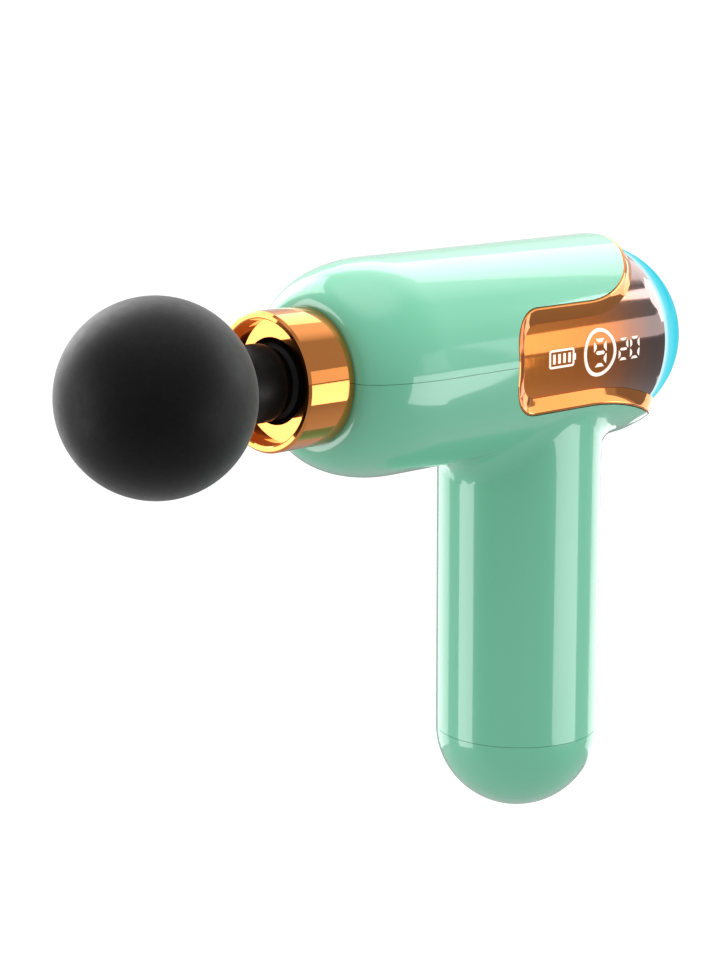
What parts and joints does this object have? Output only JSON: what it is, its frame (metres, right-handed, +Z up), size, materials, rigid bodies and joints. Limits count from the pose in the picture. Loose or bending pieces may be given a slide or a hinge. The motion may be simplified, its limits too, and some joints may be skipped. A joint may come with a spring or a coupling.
{
  "type": "massage gun",
  "caption": "Handheld percussion massage gun: round grip, capsule barrel with a wrap-around display window, plated front collar and a pull-off ball head on a crank-driven piston.",
  "frame": {"origin": "centre of the round grip, on the handle's axis", "axes": "+Z up the handle towards the barrel, -X forward to the ball head, -Y towards the side with the lit digits"},
  "size_m": [0.1806, 0.05, 0.1398],
  "materials": {
    "mint_shell": "high-gloss pearl mint",
    "copper_gold": "mirror copper-gold plating",
    "black_rubber": "matte",
    "bearing_bronze": "sintered bronze",
    "cast_aluminium": "die cast",
    "machined_steel": "turned",
    "black_engineering_plastic": "glass-filled",
    "black_plastic": "matte",
    "electrical_steel": "laminated",
    "copper_wire": "enamelled copper",
    "magnet_nickel": "nickel plate",
    "wire_insulation": "silicone",
    "smoked_window": "smoked amber, high gloss",
    "light_lens": "translucent, lit cyan rim",
    "circuit_board": "solder mask",
    "led_lens": "clear lamp",
    "display_glow": "lit segments",
    "chip_black": "moulded",
    "cell_jacket": "shrink sleeve",
    "matte_black_head": "matte",
    "ball_foam": "soft-touch moulded skin",
    "o_ring_red": "silicone"
  },
  "bodies": {
    "housing": {"upper_shell": "mint_shell", "lower_shell": "mint_shell", "handle_end_cap": "mint_shell", "front_collar": "copper_gold", "window_bezel": "copper_gold", "dust_seal": "black_rubber", "guide_sleeve": "bearing_bronze", "drive_frame": "cast_aluminium", "front_damper": "black_rubber", "damper_washers": "black_rubber", "frame_screws": "machined_steel", "motor_screws": "machined_steel", "motor_base": "cast_aluminium", "stator_core": "electrical_steel", "stator_coils": "copper_wire", "bearing_rings_outer": "machined_steel", "motor_leads": "wire_insulation", "display_window": "smoked_window", "rear_light_lens": "light_lens", "rear_mask": "black_plastic", "rear_light_board": "circuit_board", "rear_lights": "led_lens", "display_board": "circuit_board", "display_module": "display_glow", "touch_pad": "copper_wire", "main_board": "circuit_board", "board_parts": "chip_black", "battery_cells": "cell_jacket", "battery_sleeve": "cell_jacket", "battery_holder_top": "black_plastic", "battery_holder_bottom": "black_plastic", "nickel_strips": "magnet_nickel", "battery_board": "circuit_board", "battery_board_parts": "chip_black", "battery_leads": "wire_insulation", "charging_socket": "machined_steel", "socket_tongue": "black_plastic", "charging_board": "circuit_board"},
    "crank": {"rotor_bell": "machined_steel", "rotor_magnets": "magnet_nickel", "motor_shaft": "machined_steel", "bearing_rings_inner": "machined_steel", "bearing_balls": "machined_steel", "crank_wheel": "machined_steel", "eccentric_bearing": "machined_steel", "bearing_spacer": "machined_steel", "bearing_screw": "machined_steel"},
    "piston": {"piston_tube": "matte_black_head", "drive_yoke": "black_engineering_plastic", "yoke_pin": "machined_steel"},
    "head": {"head_stem": "matte_black_head", "ball_head": "ball_foam", "stem_o_rings": "o_ring_red"}
  },
  "joints": [
    {"name": "crank_turn", "type": "hinge", "parent": "housing", "child": "crank", "pos_m": [0, 0, 0.0625], "axis": [0, 0, 1], "range_deg": [-90, 90]},
    {"name": "piston_stroke", "type": "slide", "parent": "housing", "child": "piston", "axis": [-1, 0, 0], "range_m": [-0.0035, 0.0035]},
    {"name": "head_pull", "type": "slide", "parent": "piston", "child": "head", "axis": [-1, 0, 0], "range_m": [0, 0.025]}
  ],
  "couplings": [
    {"joint": "crank_turn", "follows": "piston_stroke", "rad_per_m": 448.79}
  ]
}
